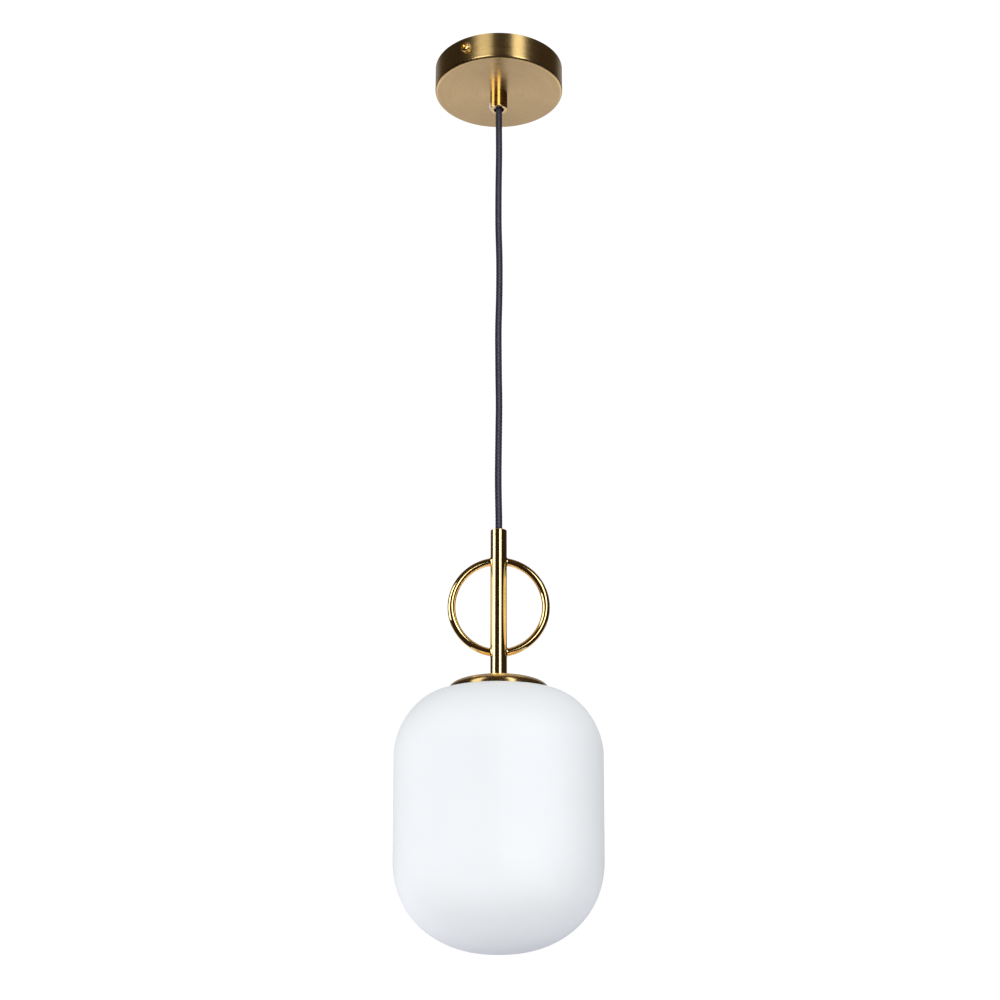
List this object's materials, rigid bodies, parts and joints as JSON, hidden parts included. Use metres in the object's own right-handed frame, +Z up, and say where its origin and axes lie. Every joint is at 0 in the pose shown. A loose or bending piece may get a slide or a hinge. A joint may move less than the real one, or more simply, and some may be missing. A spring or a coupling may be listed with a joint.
{
  "type": "pendant ceiling light",
  "caption": "Pendant ceiling light: brass cup, textile cord, stem with a side-brazed ring, domed cap and a closed opal glass shade that unscrews.",
  "frame": {"origin": "centre of the ceiling bracket's upper face, on the ceiling plane", "axes": "+Z up into the ceiling, the lamp hangs along -Z; -Y is the front, and the ring lies in the XZ plane"},
  "size_m": [0.1724, 0.1724, 0.8109],
  "materials": {
    "antique_brass": "brushed, lacquered",
    "polished_brass": "polished, lacquered",
    "screw_brass": "polished plating",
    "zinc_steel": "zinc plated",
    "inner_brass": "bare machined",
    "cord_textile": "woven textile braid",
    "nylon": "natural nylon",
    "block_plastic": "moulded",
    "wire_brown": "insulation",
    "wire_blue": "insulation",
    "wire_green_yellow": "insulation",
    "holder_plastic": "moulded, heat resistant",
    "holder_ceramic": "glazed porcelain",
    "opal_glass": "opal, satin etched outside",
    "silicone": "moulded silicone",
    "bulb_nickel": "nickel plated",
    "bulb_black_glass": "black insulating glass",
    "bulb_white": "moulded"
  },
  "bodies": {
    "ceiling_mount": {"ceiling_bracket": "zinc_steel", "canopy": "antique_brass", "earth_ring_terminal": "zinc_steel", "earth_screw": "zinc_steel", "terminal_block_body": "block_plastic", "terminal_sleeves": "inner_brass", "terminal_clamp_screws": "zinc_steel", "terminal_block_screw": "zinc_steel", "cord_grip_body": "polished_brass", "grip_washer": "zinc_steel", "grip_hex_nut": "zinc_steel", "cord_in_grip": "cord_textile", "lead_live": "wire_brown", "lead_neutral": "wire_blue", "lead_earth": "wire_green_yellow"},
    "front_side_screw": {"side_screw_front": "screw_brass"},
    "rear_side_screw": {"side_screw_rear": "screw_brass"},
    "locking_screw": {"grip_locking_screw": "nylon"},
    "cord_upper": {"cord_top": "cord_textile"},
    "cord_middle": {"cord_mid": "cord_textile"},
    "cord_lower": {"cord_main": "cord_textile"},
    "lamp": {"stem_tube": "polished_brass", "stem_top_bush": "polished_brass", "cord_stop_collar": "inner_brass", "collar_grub_screw": "zinc_steel", "cord_in_stem": "cord_textile", "ring_half_left": "polished_brass", "ring_half_right": "polished_brass", "stem_foot_bush": "inner_brass", "threaded_stud": "inner_brass", "dome_cap": "polished_brass", "shade_gallery": "inner_brass", "gallery_spacer": "inner_brass", "gallery_lock_nut": "zinc_steel", "lampholder_cap": "holder_plastic", "lampholder_insert": "holder_ceramic", "holder_terminal_screws": "inner_brass", "lampholder_shell": "holder_plastic", "lampholder_liner": "holder_plastic", "holder_screw_shell": "inner_brass", "holder_centre_contact": "inner_brass"},
    "shade_seal": {"shade_seal_ring": "silicone"},
    "shade": {"shade_neck": "opal_glass", "shade_shoulder": "opal_glass", "shade_wall": "opal_glass", "shade_base": "opal_glass"},
    "bulb": {"bulb_tip_contact": "bulb_nickel", "bulb_insulator": "bulb_black_glass", "bulb_screw_cap": "bulb_nickel", "bulb_collar": "bulb_white", "bulb_globe": "bulb_white"}
  },
  "joints": [
    {"name": "swing_side", "type": "hinge", "parent": "ceiling_mount", "child": "cord_upper", "pos_m": [0, 0, -0.046], "axis": [0, 1, 0], "range_deg": [-20, 20]},
    {"name": "swing_fore", "type": "hinge", "parent": "cord_upper", "child": "cord_middle", "pos_m": [0, 0, -0.07], "axis": [1, 0, 0], "range_deg": [-20, 20]},
    {"name": "lamp_twist", "type": "hinge", "parent": "cord_middle", "child": "cord_lower", "pos_m": [0, 0, -0.094], "axis": [0, 0, 1], "range_deg": [-90, 90]},
    {"name": "height_adjust", "type": "slide", "parent": "cord_lower", "child": "lamp", "axis": [0, 0, 1], "range_m": [0, 0.25], "deforming": ["cord_main"]},
    {"name": "shade_lower", "type": "slide", "parent": "lamp", "child": "shade_seal", "axis": [0, 0, -1], "range_m": [0, 0.12]},
    {"name": "shade_unscrew", "type": "hinge", "parent": "shade_seal", "child": "shade", "pos_m": [0, 0, -0.6], "axis": [0, 0, -1], "range_deg": [0, 360]},
    {"name": "bulb_out", "type": "slide", "parent": "lamp", "child": "bulb", "axis": [0, 0, -1], "range_m": [0, 0.03]},
    {"name": "locking_screw_out", "type": "slide", "parent": "ceiling_mount", "child": "locking_screw", "axis": [-1, 0, 0], "range_m": [0, 0.003]},
    {"name": "front_screw_out", "type": "slide", "parent": "ceiling_mount", "child": "front_side_screw", "axis": [-0.5, -0.866, 0], "range_m": [0, 0.011]},
    {"name": "rear_screw_out", "type": "slide", "parent": "ceiling_mount", "child": "rear_side_screw", "axis": [0.5, 0.866, 0], "range_m": [0, 0.011]}
  ]
}
